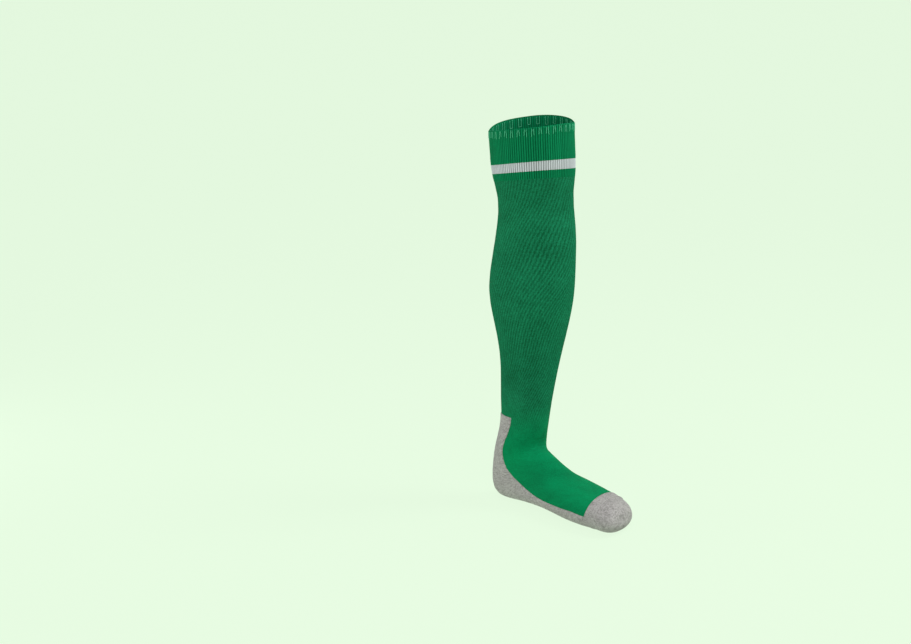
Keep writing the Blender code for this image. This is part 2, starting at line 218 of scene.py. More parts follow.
class Skin:
    """The smooth inner surface of the hollow."""

    def __init__(self):
        self.hollow = Hollow()
        self.centres = []
        self.backs = []
        self.tips = []
        self.place_stations()
        self.centres = np.array(self.centres)
        self.backs = np.array(self.backs)
        self.tips = np.array(self.tips)
        self.count = len(self.centres)
        self.measure()
        self.lay_out()

    def recentred(self, centre, back):
        """The middle of the hollow in the plane of a station."""
        centre = np.array(centre)
        for direction in (back, np.array([1.0, 0.0, 0.0])):
            ahead, behind = self.hollow.width(centre, direction)
            if ahead is not None and behind is not None:
                centre = centre + direction * (ahead - behind) / 2
        return centre

    def add_station(self, centre, back, tip=0.0):
        self.centres.append(centre)
        self.backs.append(back)
        self.tips.append(tip)

    def place_stations(self):
        """Level planes down the leg, a fan of planes round the heel, upright ones to the toes, then a fan
        of rays from one middle of the toe cap."""
        instep_low, instep_high = (np.array(c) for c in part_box("instep"))
        span = instep_high - instep_low
        pivot_y = instep_high[1] - PIVOT_FORWARD * span[1]
        pivot_z = instep_low[2] + PIVOT_RISE * span[2]
        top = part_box("welt")[1][2]
        low, high = (np.array(c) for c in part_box("cuff_lower"))
        back = np.array([0.0, 1.0, 0.0])
        start = (low + high) / 2
        upward = []
        centre = start.copy()
        while centre[2] < top:
            centre = self.recentred(centre + [0.0, 0.0, LEG_STEP], back)
            upward.append(centre)
        for centre in reversed(upward):
            self.add_station(centre, back)
        steps = round((start[2] - pivot_z) / LEG_STEP)
        centre = start
        for k in range(steps + 1):
            centre = np.array([centre[0], centre[1], start[2] + (pivot_z - start[2]) * k / steps])
            centre = self.recentred(centre, back)
            self.add_station(centre, back)
        away = centre[1] - pivot_y
        for k in range(1, TURN_STEPS + 1):
            turned = math.pi / 2 * k / TURN_STEPS
            back = np.array([0.0, math.cos(turned), -math.sin(turned)])
            centre = np.array([centre[0], pivot_y, pivot_z]) + back * away
            centre = self.recentred(centre, back)
            away = (centre - [0.0, pivot_y, pivot_z]) @ back
            self.add_station(centre, back)
        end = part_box("toe_cap")[0][1] + TOE_CENTRE_BACK
        steps = round((pivot_y - end) / FOOT_STEP)
        for k in range(1, steps + 1):
            centre = np.array([centre[0], pivot_y + (end - pivot_y) * k / steps, centre[2]])
            centre = self.recentred(centre, back)
            self.add_station(centre, back)
        for k in range(1, TOE_STEPS + 1):
            self.add_station(centre, back, math.pi / 2 * k / TOE_STEPS)

    def frame_at(self, station):
        """Middle, direction to the back and lean towards the tip at a place between stations."""
        low = min(max(int(station), 0), self.count - 2)
        part = station - low
        values = []
        for table in (self.centres, self.backs, self.tips):
            values.append(table[low] * (1 - part) + table[low + 1] * part)
        return values

    def ray(self, station, turn):
        """Origin and direction at a station, turned from the back over the inner side by a share."""
        centre, back, tip = self.frame_at(station)
        inner = np.array([-1.0, 0.0, 0.0])
        flat = back * math.cos(2 * math.pi * turn) + inner * math.sin(2 * math.pi * turn)
        return centre, flat * math.cos(tip) + np.array([0.0, -1.0, 0.0]) * math.sin(tip)

    def label(self, station, turn):
        return self.hollow.look(*self.ray(station, turn))[1]

    def measure(self):
        """Casts the rays, fills what they miss and smooths the distances."""
        distances = np.full((self.count, DIRECTIONS), np.nan)
        self.labels = np.full((self.count, DIRECTIONS), None, dtype=object)
        rays = np.empty((self.count, DIRECTIONS, 2, 3))
        for i in range(self.count):
            for j in range(DIRECTIONS):
                rays[i, j] = self.ray(i, j / DIRECTIONS)
                distance, name = self.hollow.look(*rays[i, j])
                self.labels[i, j] = name
                if distance is not None:
                    distances[i, j] = distance
        stations = np.arange(self.count)
        for j in range(DIRECTIONS):
            column = distances[:, j]
            known = np.flatnonzero(~np.isnan(column))
            first = known[0] + 1
            column[:] = np.interp(stations, known, column[known])
            slope = (column[first + SLOPE_STATIONS] - column[first]) / SLOPE_STATIONS
            column[:first] = column[first] + slope * (stations[:first] - first)
        for axis, sigma, around in ((1, SMOOTH_DIRECTIONS, True), (0, SMOOTH_STATIONS, False)):
            distances = smooth_keeping_size(distances, sigma, axis, around)
        tip = distances[-1].mean()
        quarter = TOE_STEPS // 4
        for k in range(1, quarter + 1):
            i = self.count - 1 - quarter + k
            distances[i] += (tip - distances[i]) * (k / quarter) ** 2
        self.round = rays[:, :, 0] + rays[:, :, 1] * distances[:, :, None]

    def lay_out(self):
        """Lays the measured rings out again at equal shares of their girth."""
        closed = np.concatenate([self.round, self.round[:, :1]], axis=1)
        steps = np.linalg.norm(np.diff(closed, axis=1), axis=2)
        self.girths = steps.sum(axis=1)
        lengths = np.concatenate([np.zeros((self.count, 1)), np.cumsum(steps, axis=1)], axis=1)
        shares = lengths[:-1] / self.girths[:-1, None]
        shares = np.concatenate([shares, shares[-1:]])
        self.shares = smooth(shares - np.linspace(0, 1, DIRECTIONS + 1), SMOOTH_STATIONS, 0, False)
        self.shares += np.linspace(0, 1, DIRECTIONS + 1)
        self.shares -= self.shares[:, :1]
        self.shares /= self.shares[:, -1:]
        turns = np.linspace(0, 1, DIRECTIONS + 1)
        even = np.arange(DIRECTIONS) / DIRECTIONS
        self.grid = np.zeros_like(self.round)
        for i in range(self.count):
            places = np.interp(even, self.shares[i], turns) * DIRECTIONS
            base = np.floor(places).astype(int)
            weights = cubic_weights(places - base)
            for k in range(4):
                self.grid[i] += weights[:, k : k + 1] * self.round[i, (base + k - 1) % DIRECTIONS]

    def share(self, station, turn):
        """Share of the girth of a ray's direction."""
        low = min(max(int(station), 0), self.count - 2)
        row = self.shares[low] + (self.shares[low + 1] - self.shares[low]) * (station - low)
        return np.interp(turn, np.linspace(0, 1, DIRECTIONS + 1), row)

    def points(self, stations, shares):
        """Points of the skin, by cubic interpolation both ways."""
        stations = np.clip(stations, 0, self.count - 1)
        low = np.minimum(np.floor(stations).astype(int), self.count - 2)
        across = (shares % 1.0) * DIRECTIONS
        base = np.floor(across).astype(int)
        down_weights = cubic_weights(stations - low)
        across_weights = cubic_weights(across - base)
        result = np.zeros(np.shape(stations) + (3,))
        for a in range(4):
            row = np.clip(low + a - 1, 0, self.count - 1)
            for b in range(4):
                weight = down_weights[..., a] * across_weights[..., b]
                result += weight[..., None] * self.grid[row, (base + b - 1) % DIRECTIONS]
        return result

    def points_and_normals(self, stations, shares):
        """Points of the skin with their outward directions."""
        turn = NORMAL_STEP / DIRECTIONS
        down = self.points(stations + NORMAL_STEP, shares) - self.points(stations - NORMAL_STEP, shares)
        across = self.points(stations, shares + turn) - self.points(stations, shares - turn)
        normals = np.cross(down, across)
        normals /= np.maximum(np.linalg.norm(normals, axis=-1, keepdims=True), 1e-12)
        return self.points(stations, shares), normals


def crossing(low, high, passed):
    """The last place before a change and the first one after it, found by halving."""
    for _ in range(HALVINGS):
        middle = (low + high) / 2
        if passed(middle):
            high = middle
        else:
            low = middle
    return low, high


class Border:
    """A line across the sock, as the station at each share of the girth, where one set of nodes ends."""

    def __init__(self, skin, before, after, turns):
        found = []
        for turn in turns:
            station = self.search(skin, before, after, turn % 1.0)
            if station is not None:
                found.append((skin.share(station, turn % 1.0) + math.floor(turn), station))
        found.sort()
        shares, stations = (np.array(v) for v in zip(*found))
        around = shares[-1] - shares[0] > 0.9
        even = np.arange(DIRECTIONS) / DIRECTIONS
        if around:
            over = BORDER_OVERLAP
            shares = np.concatenate([shares[-over:] - 1, shares, shares[:over] + 1])
            stations = np.concatenate([stations[-over:], stations, stations[:over]])
            self.values = smooth(np.interp(even, shares, stations), SMOOTH_BORDER, 0, True)
        else:
            even = np.where(even > (shares[0] + shares[-1]) / 2 + 0.5, even - 1, even)
            self.values = np.interp(even, shares, stations)

    @staticmethod
    def search(skin, before, after, turn):
        """Station at which the ray in this direction passes from one set of nodes to the other."""
        column = skin.labels[:, round(turn * DIRECTIONS) % DIRECTIONS]
        places = [i for i, name in enumerate(column) if name in after]
        if not places:
            return None
        high = places[0]
        low = high - 1
        while low > 0 and column[low] is None and before:
            low -= 1
        if before and column[low] not in before:
            return None
        return crossing(low, high, lambda station: skin.label(station, turn) in after)[1]

    def __call__(self, shares):
        across = (np.asarray(shares) % 1.0) * DIRECTIONS
        base = np.floor(across).astype(int)
        weights = cubic_weights(across - base)
        result = np.zeros(np.shape(across))
        for k in range(4):
            result += weights[..., k] * self.values[(base + k - 1) % DIRECTIONS]
        return result


class Edge:
    """A line along the sock, as the share of the girth at each station, where the grey zones end."""

    GREY = ("heel", "sole")

    def __init__(self, skin, first, last, side):
        stations = np.arange(math.ceil(first), math.floor(last) + 1)
        shares = [self.search(skin, s, side) for s in stations]
        self.stations = stations
        self.shares = smooth(np.array(shares), SMOOTH_BORDER, 0, False)

    @classmethod
    def search(cls, skin, station, side):
        """Share at which the ray passes from the grey zone to the green one, on one side."""
        names = [skin.labels[station, (side * k) % DIRECTIONS] for k in range(DIRECTIONS // 2)]
        places = [k for k, name in enumerate(names) if name in cls.GREY]
        low = max(places) / DIRECTIONS

        def green(turn):
            return skin.label(station, side * turn % 1.0) not in cls.GREY

        low, _ = crossing(low, low + 1 / DIRECTIONS, green)
        share = skin.share(station, side * low % 1.0)
        return share if side > 0 else share - 1.0

    def __call__(self, stations):
        return np.interp(stations, self.stations, self.shares)


class Value:
    """A socket that carries a number. Arithmetic on it adds Math nodes."""

    def __init__(self, graph, socket):
        self.graph = graph
        self.socket = socket

    def math(self, operation, *others):
        inputs = dict(enumerate((self, *others)))
        return self.graph.number("ShaderNodeMath", {"operation": operation}, inputs)

    def __add__(self, other):
        return self.math("ADD", other)

    __radd__ = __add__

    def __sub__(self, other):
        return self.math("SUBTRACT", other)

    def __rsub__(self, other):
        return self.graph.number("ShaderNodeMath", {"operation": "SUBTRACT"}, {0: other, 1: self})

    def __mul__(self, other):
        return self.math("MULTIPLY", other)

    __rmul__ = __mul__

    def __truediv__(self, other):
        return self.math("DIVIDE", other)

    def __pow__(self, other):
        return self.math("POWER", other)

    def floor(self):
        return self.math("FLOOR")

    def fraction(self):
        return self.math("FRACT")

    def absolute(self):
        return self.math("ABSOLUTE")

    def wave(self):
        """A cosine from 1 at every whole number to 0 halfway between."""
        return (self * (2 * math.pi)).math("COSINE") * 0.5 + 0.5

    def clamped(self):
        return self.graph.number("ShaderNodeClamp", {}, {"Value": self})


class Graph:
    """The nodes of one material."""

    def __init__(self, name, roughness, sheen, sheen_tint):
        self.material = bpy.data.materials.new(name)
        self.material.use_nodes = True
        self.tree = self.material.node_tree
        self.shader = self.tree.nodes["Principled BSDF"]
        self.shader.inputs["Roughness"].default_value = roughness
        self.shader.inputs["Specular IOR Level"].default_value = 0.03
        self.shader.inputs["Sheen Weight"].default_value = sheen
        self.shader.inputs["Sheen Roughness"].default_value = 0.45
        self.shader.inputs["Sheen Tint"].default_value = (*sheen_tint, 1.0)

    def node(self, kind, settings, inputs):
        """Adds a node, sets its settings first and then its sockets, by value or by link."""
        made = self.tree.nodes.new(kind)
        for name, value in settings.items():
            setattr(made, name, value)
        for name, value in inputs.items():
            self.feed(made.inputs[name], value)
        return made

    def feed(self, socket, value):
        if isinstance(value, Value):
            value = value.socket
        if isinstance(value, bpy.types.NodeSocket):
            self.tree.links.new(value, socket)
        else:
            socket.default_value = value

    def number(self, kind, settings, inputs):
        return Value(self, self.node(kind, settings, inputs).outputs[0])

    def stitches(self):
        """Place in the knit: wales across and courses down, one unit a stitch."""
        spot = self.node("ShaderNodeUVMap", {"uv_map": UV_NAME}, {}).outputs["UV"]
        parts = self.node("ShaderNodeSeparateXYZ", {}, {0: spot})
        return Value(self, parts.outputs[0]), Value(self, parts.outputs[1])

    def height_above(self, levels):
        """Share from 0 to 1 between two heights."""
        spot = self.node("ShaderNodeTexCoord", {}, {}).outputs["Object"]
        parts = self.node("ShaderNodeSeparateXYZ", {}, {0: spot})
        low, high = levels
        inputs = {0: parts.outputs[2], 1: low, 2: high, 3: 0.0, 4: 1.0}
        settings = {"interpolation_type": "SMOOTHSTEP"}
        return self.number("ShaderNodeMapRange", settings, inputs)

    def vector(self, x, y):
        return self.node("ShaderNodeCombineXYZ", {}, {0: x, 1: y}).outputs[0]

    def speckle(self, x, y):
        """One random number for each whole stitch."""
        vector = self.vector(x.floor(), y.floor())
        return self.number("ShaderNodeTexWhiteNoise", {"noise_dimensions": "2D"}, {"Vector": vector})

    def noise(self, x, y, scale, detail):
        inputs = {"Vector": self.vector(x, y), "Scale": scale, "Detail": detail, "Roughness": 0.6}
        return self.number("ShaderNodeTexNoise", {"noise_dimensions": "2D"}, inputs)

    def mixed(self, share, first, second):
        """Blend of two colours, each a tuple or a socket."""
        first = (*first, 1.0) if isinstance(first, tuple) else first
        second = (*second, 1.0) if isinstance(second, tuple) else second
        made = self.node("ShaderNodeMix", {"data_type": "RGBA"}, {0: share, 6: first, 7: second})
        return made.outputs[2]

    def finish(self, colour, height, depth, strength):
        self.feed(self.shader.inputs["Base Color"], colour)
        bump = self.node("ShaderNodeBump", {}, {"Height": height, "Distance": depth, "Strength": strength})
        self.feed(self.shader.inputs["Normal"], bump.outputs["Normal"])
        return self.material


def darker(colour, share):
    return tuple(share * c for c in colour)


def stitch_height(wale, course):
    """Height of plain knit: each wale is a column of V-shaped stitches with a groove on both sides. The
    second value, lightest in the middle of a wale, is used by some knits as painted shade on its sides.
    """
    side = (wale.fraction() * 2 - 1).absolute()
    leg = (course + side * STITCH_SLANT).wave()
    ridge_height_and_shade = 1 - side**3
    return ridge_height_and_shade * (leg * 0.55 + 0.45), ridge_height_and_shade


def green_knit(name, leg, foot):
    """Fine plain knit. On the leg every second wale is paler and the stitches drift from pale to dark in
    slanting strokes, which fade out at the ankle, where the knit is even and brighter."""
    graph = Graph(name, roughness=0.8, sheen=0.25, sheen_tint=tuple(foot.green_light))
    wale, course = graph.stitches()
    height, ridge_height_and_shade = stitch_height(wale, course)
    random = graph.speckle(wale, course)
    cloud = graph.noise(wale, course, GREEN_CLOUD, 2.0)
    drift = graph.noise(wale, course, DRIFT_SCALE, 0.0)
    line = (wale / 2).wave()
    stroke = (wale / STROKE_WALES + course / STROKE_COURSES + drift * STROKE_DRIFT).wave()
    tone = line * 0.15 + stroke * 0.45 + (random - 0.5) * 0.5 + (cloud - 0.5) * 0.5 + 0.1
    textured = graph.mixed(tone.clamped(), tuple(leg.dark), tuple(leg.light))
    # Painted shade: the stitches are lightened in the middle of each wale and darkened at its sides.
    fine = (random - 0.5) * 0.4 + (cloud - 0.5) * 0.9 + ridge_height_and_shade * 0.3 + 0.35
    even = graph.mixed(fine.clamped(), tuple(foot.green_dark), tuple(foot.green_light))
    level = graph.height_above((foot.fade_end, foot.fade_start))
    return graph.finish(graph.mixed(level, even, textured), height, depth=0.0003, strength=0.7)


def ribbed_knit(name, dark, light, groove, ribs_share):
    """Upright ribs: light on the ribs, painted shade in the gaps, fine stitches on both."""
    graph = Graph(name, roughness=0.8, sheen=0.2, sheen_tint=light)
    wale, course = graph.stitches()
    height, _ = stitch_height(wale * 2, course)
    side = (wale.fraction() * 2 - 1).absolute()
    random = graph.speckle(wale * 2, course)
    each = graph.speckle(wale, wale * 0 + 3)
    tone = (each - 0.5) * 0.45 + (random - 0.5) * 0.3 + 0.6
    colour = graph.mixed(tone.clamped(), dark, light)
    # Painted shade: the gaps between the ribs take the darker groove colour.
    gap_shade_mask = ((side - ribs_share) / (1 - ribs_share)).clamped()
    colour = graph.mixed(gap_shade_mask, colour, groove)
    return graph.finish(colour, height, depth=0.0003, strength=0.6)


def grey_marl(name, dark, light):
    """Speckled yarn of light and mid grey: short flecks along the rows of stitches over a faint mottle."""
    graph = Graph(name, roughness=0.9, sheen=0.2, sheen_tint=light)
    wale, course = graph.stitches()
    height, ridge_height_and_shade = stitch_height(wale, course)
    random = graph.speckle(wale, course)
    row = graph.speckle(wale * 0, course)
    fleck = graph.speckle(wale * FLECK_WIDTH + row * 9, course)
    cloud = graph.noise(wale, course, GREY_CLOUD, 2.0)
    # Painted shade: the stitches are lightened in the middle of each wale and darkened at its sides.
    tone = (random - 0.5) * 0.5 + (fleck - 0.5) * 0.4 + (cloud - 0.5) * 0.4 + ridge_height_and_shade * 0.25 + 0.4
    return graph.finish(graph.mixed(tone.clamped(), dark, light), height, depth=0.0004, strength=0.8)


def plain_thread(name, colour):
    """Single thread with a slight twist, painted darker as shade in the low parts of the twist."""
    graph = Graph(name, roughness=0.7, sheen=0.3, sheen_tint=colour)
    wale, course = graph.stitches()
    # Painted shade: the twist is both the bump and the colour, darker where it is low.
    twist = (wale + course * 3).wave()
    return graph.finish(graph.mixed(twist, darker(colour, 0.72), colour), twist, depth=0.0001, strength=0.5)


def add_mesh(name, points, faces, uvs=None):
    """An object with smooth faces and, where they are given, the places of its corners in the knit."""
    mesh = bpy.data.meshes.new(name)
    mesh.from_pydata(points, [], faces)
    if uvs is not None:
        layer = mesh.uv_layers.new(name=UV_NAME)
        layer.data.foreach_set("uv", np.array(uvs, dtype=np.float32).ravel())
    mesh.shade_smooth()
    made = bpy.data.objects.new(name, mesh)
    bpy.context.scene.collection.objects.link(made)
    return made


def grid_faces(rows, columns, around, start=0, flipped=False):
    """Quads of a grid of points, with the row and column of each corner for its place in the knit."""
    last = columns if around else columns - 1
    i, j = np.meshgrid(np.arange(rows - 1), np.arange(last), indexing="ij")
    corners = [(i, j), (i + 1, j), (i + 1, j + 1), (i, j + 1)]
    if flipped:
        corners.reverse()
    faces = np.stack([start + a * columns + b % columns for a, b in corners], axis=-1)
    places = np.stack([np.stack([a, b], axis=-1) for a, b in corners], axis=-2)
    return faces.reshape(-1, 4), places.reshape(-1, 4, 2)


def strip_faces(first, second):
    """Quads between two rows of points, the first one ahead."""
    return np.stack([first[:-1], second[:-1], second[1:], first[1:]], axis=-1)


def shell(name, outer, inner, knit_outer, knit_inner, around, tip=None):
    """A closed shell from a grid of points outside and one inside, with their places in the knit. tip is a
    pair of points, outside and inside, that closes both grids behind their last row."""
    rows, columns = outer.shape[:2]
    inner_rows = inner.shape[0]
    start = rows * columns
    points = np.concatenate([outer.reshape(-1, 3), inner.reshape(-1, 3)])
    knit = np.concatenate([knit_outer[:, :columns].reshape(-1, 2), knit_inner[:, :columns].reshape(-1, 2)])
    faces, places = grid_faces(rows, columns, around)
    uvs = [knit_outer[places[..., 0], places[..., 1]]]
    parts = [faces]
    faces, places = grid_faces(inner_rows, columns, around, start, flipped=True)
    uvs.append(knit_inner[places[..., 0], places[..., 1]])
    parts.append(faces)
    numbers = np.arange(start).reshape(rows, columns)
    inside = start + np.arange(inner_rows * columns).reshape(inner_rows, columns)
    if around:
        numbers = np.concatenate([numbers, numbers[:, :1]], axis=1)
        inside = np.concatenate([inside, inside[:, :1]], axis=1)
    strips = [strip_faces(inside[0], numbers[0])]
    if tip is None:
        strips.append(strip_faces(numbers[-1], inside[-1]))
    if not around:
        strips.append(strip_faces(numbers[:, 0], inside[:, 0]))
        strips.append(strip_faces(inside[:, -1], numbers[:, -1]))
    for strip in strips:
        parts.append(strip)
        uvs.append(knit[strip])
    faces = [tuple(f) for part in parts for f in part.tolist()]
    uvs = np.concatenate([u.reshape(-1, 2) for u in uvs])
    if tip is not None:
        points = np.concatenate([points, np.array(tip)])
        ends = (len(points) - 2, len(points) - 1)
        for k in range(columns):
            faces.append((numbers[-1, k], ends[0], numbers[-1, k + 1]))
            faces.append((inside[-1, k + 1], ends[1], inside[-1, k]))
            corner = knit_outer[-1, [k, k, k + 1]]
            uvs = np.concatenate([uvs, corner, corner[::-1]])
    made = add_mesh(name, points.tolist(), faces, uvs)
    made.data.set_sharp_from_angle(angle=SHARP_ANGLE)
    return made


def down_lengths(points):
    """Length of the way down each column of a grid of points."""
    steps = np.linalg.norm(np.diff(points, axis=0), axis=2)
    return np.concatenate([np.zeros((1, points.shape[1])), np.cumsum(steps, axis=0)])


class Sock:
    """What the pieces share: the skin, the lines between the zones and the pieces made so far."""

    made = None

    def __init__(self):
        self.skin = Skin()
        everywhere = np.arange(DIRECTIONS) / DIRECTIONS
        near_back = np.arange(-BACK_REACH - 1, BACK_REACH + 1) / DIRECTIONS
        self.rim = Border(self.skin, (), ("welt",), everywhere)
        for share, width, lift in RIM_WAVES:
            away = (everywhere - share + 0.5) % 1.0 - 0.5
            self.rim.values -= lift / LEG_STEP * np.exp(-((away / width) ** 2))
        self.welt_end = Border(self.skin, ("welt",), ("cuff_upper",), everywhere)
        self.stripe_top = Border(self.skin, ("cuff_upper",), ("cuff_stripe",), everywhere)
        self.stripe_end = Border(self.skin, ("cuff_stripe",), ("cuff_lower",), everywhere)
        self.cuff_end = Border(self.skin, ("cuff_lower",), ("leg",), everywhere)
        self.tab_top = Border(self.skin, ("leg",), ("heel",), near_back)
        self.toe_start = Border(self.skin, ("instep", "sole"), ("toe_cap",), everywhere)
        self.heel_end = Border(self.skin, ("heel",), ("sole",), near_back)
        first = self.tab_top.values.max() + 1
        last = self.toe_start.values.min()
        self.inner_edge = Edge(self.skin, first, last, 1)
        self.outer_edge = Edge(self.skin, first, last, -1)

    @classmethod
    def get(cls):
        if cls.made is None:
            cls.made = cls()
        return cls.made


def place(piece, material, slot, *nodes):
    """Gives a piece its material, fixes it to the sock's only body and hides the nodes that it stands for.
    slot is not used."""
    piece.data.materials.append(material)
    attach(piece, BODY)
    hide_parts(*nodes)


def tube_places(top, end, rows, columns):
    """Stations and shares of a grid right round the sock, between two lines."""
    shares = np.broadcast_to(np.arange(columns) / columns, (len(rows), columns))
    first = top(shares)
    stations = first + (end(shares) - first) * np.asarray(rows)[:, None]
    return stations, shares


def knit_places(points, shares, across, course):
    """Places in the knit of a grid that runs right round: wales from the shares, courses from lengths."""
    lengths = down_lengths(points) / course
    lengths = np.concatenate([lengths, lengths[:, :1]], axis=1)
    turns = np.concatenate([shares, np.ones((len(shares), 1))], axis=1)
    return np.stack([turns * across, lengths], axis=-1)


def tube_piece(name, top, end, rows, columns, wall, relief, lip, across, course):
    """A piece right round the sock. relief is what the outside adds at each share, lip how far its upper
    edge is rounded."""
    sock = Sock.get()
    stations, shares = tube_places(top, end, np.linspace(0, 1, rows + 1), columns)
    base, normals = sock.skin.points_and_normals(stations, shares)
    ways = down_lengths(base)
    height = np.full(ways.shape, wall) + relief(shares, ways)
    if lip:
        near = np.clip(1 - ways / lip, 0, 1)
        height = wall / 2 + (height - wall / 2) * np.sqrt(np.maximum(1 - near**2, 0))
    outer = base + normals * height[..., None]
    inner_rows = max(2, rows // 5 + 1)
    stations, inner_shares = tube_places(top, end, np.linspace(0, 1, inner_rows), columns)
    inner_base, inner_normals = sock.skin.points_and_normals(stations, inner_shares)
    depth = np.zeros(inner_base.shape[:2])
    if lip:
        depth[0] = wall / 2
    inner = inner_base + inner_normals * depth[..., None]
    knit_outer = knit_places(outer, shares, across, course)
    knit_inner = knit_places(inner, inner_shares, across, course)
    return shell(name, outer, inner, knit_outer, knit_inner, around=True)


def rib_relief(ribs, depth):
    """Round upright ribs with narrow gaps, as heights over the wall."""

    def relief(shares, ways):
        side = np.abs((shares * ribs) % 1.0 * 2 - 1)
        return depth * (np.sqrt(np.maximum(1 - side**RIB_ROUNDNESS, 0)) - 1)

    return relief


def tubes(name, paths, radius, sides, twist_step):
    """Round threads along lists of points, closed at both ends, as one piece."""
    askew = [0.31, 0.17, 0.05]
    points = []
    faces = []
    uvs = []
    for number, path in enumerate(paths):
        path = np.asarray(path)
        ways = np.gradient(path, axis=0)
        ways /= np.linalg.norm(ways, axis=1, keepdims=True)
        across = np.cross(ways, path[-1] - path[0] + askew)
        across /= np.linalg.norm(across, axis=1, keepdims=True)
        other = np.cross(ways, across)
        angles = np.arange(sides) / sides * 2 * math.pi
        rings = path[:, None] + radius * (
            across[:, None] * np.cos(angles)[None, :, None] + other[:, None] * np.sin(angles)[None, :, None]
        )
        start = len(points)
        points += rings.reshape(-1, 3).tolist()
        for i in range(len(path) - 1):
            for j in range(sides):
                k = (j + 1) % sides
                row = start + i * sides
                faces.append((row + j, row + k, row + sides + k, row + sides + j))
                v = i * twist_step
                uvs += [(number, v), (number, v), (number, v + twist_step), (number, v + twist_step)]
        faces.append(tuple(start + j for j in reversed(range(sides))))
        faces.append(tuple(start + (len(path) - 1) * sides + j for j in range(sides)))
        uvs += [(number, 0.0)] * (2 * sides)
    return add_mesh(name, points, faces, uvs)


def length(name, description, default):
    return FloatProperty(name=name, description=description, default=default, unit="LENGTH")


def angle(name, description, degrees):
    return FloatProperty(name=name, description=description, default=math.radians(degrees), subtype="ANGLE")


def yarn(name, description, default):
    return FloatVectorProperty(name=name, description=description, default=default, subtype="COLOR")


class CuffSettings(bpy.types.PropertyGroup):
    ribs: IntProperty(name="Ribs", description="Ribs round the cuff", default=111, min=20)
    rib_depth: length("Rib Depth", "How deep the gaps between the ribs are", 0.0011)
    welt_lip: length("Top Rounding", "Rounding of the turned top edge", 0.0025)
    course: length("Course", "Height of one row of stitches", 0.0014)
    tick_length: length("Tick Length", "Length of the pale threads under the top edge", 0.0105)
    tick_width: length("Tick Width", "Thickness of the pale threads", 0.0006)
    ribs_per_tick: IntProperty(name="Ribs per Tick", description="Ribs between pairs of ticks", default=3)
    ribs_per_loop: IntProperty(name="Ribs per Loop", description="Ribs between loops inside", default=4)
    green: yarn("Green", "Yarn of the ribs", (0.003, 0.215, 0.083))
    # Half of this colour is also painted as shade in the gaps between the green ribs.
    shade: yarn("Shade", "Darker ribs and gaps", (0.002, 0.13, 0.05))
    white: yarn("White", "Yarn of the band", (0.56, 0.58, 0.62))
    tick: yarn("Tick", "Pale threads", (0.1, 0.52, 0.3))


class LegSettings(bpy.types.PropertyGroup):
    wales: IntProperty(name="Wales", description="Columns of stitches round the leg", default=216, min=20)
    wale_depth: length("Wale Depth", "Relief of the columns of stitches", 0.00025)
    course: length("Course", "Height of one row of stitches", 0.00125)
    dark: yarn("Dark", "Dark stitches", (0.003, 0.08, 0.032))
    light: yarn("Light", "Pale stitches", (0.011, 0.215, 0.1))


class FootSettings(bpy.types.PropertyGroup):
    wales: IntProperty(name="Wales", description="Columns of stitches round the foot", default=168, min=20)
    course: length("Course", "Height of one row of stitches", 0.0016)
    edge: length("Edge", "How far the rounding of a grey edge reaches in", 0.0016)
    seam_width: length("Seam Width", "Width of the toe seam", 0.0016)
    green_dark: yarn("Dark Green", "Dark stitches of the instep", (0.001, 0.114, 0.042))
    green_light: yarn("Light Green", "Light stitches of the instep", (0.001, 0.242, 0.088))
    fade_start: length("Fade Start", "Height where the leg's strokes start to fade", -0.37)
    fade_end: length("Fade End", "Height where the knit is even", -0.44)
    grey_dark: yarn("Dark Grey", "Dark flecks", (0.185, 0.175, 0.172))
    grey_light: yarn("Light Grey", "Light flecks", (0.43, 0.41, 0.405))


class StageSettings(bpy.types.PropertyGroup):
    azimuth: angle("Azimuth", "Where the camera stands round the sock", -42)
    elevation: angle("Elevation", "How high the camera stands", 12)
    distance: length("Distance", "Camera to the middle of the sock", 2.8)
    backdrop: yarn("Backdrop", "Pale floor and backdrop", (0.8, 0.965, 0.76))
    glow: FloatProperty(name="Glow", description="Light that the backdrop gives by itself", default=0.945)


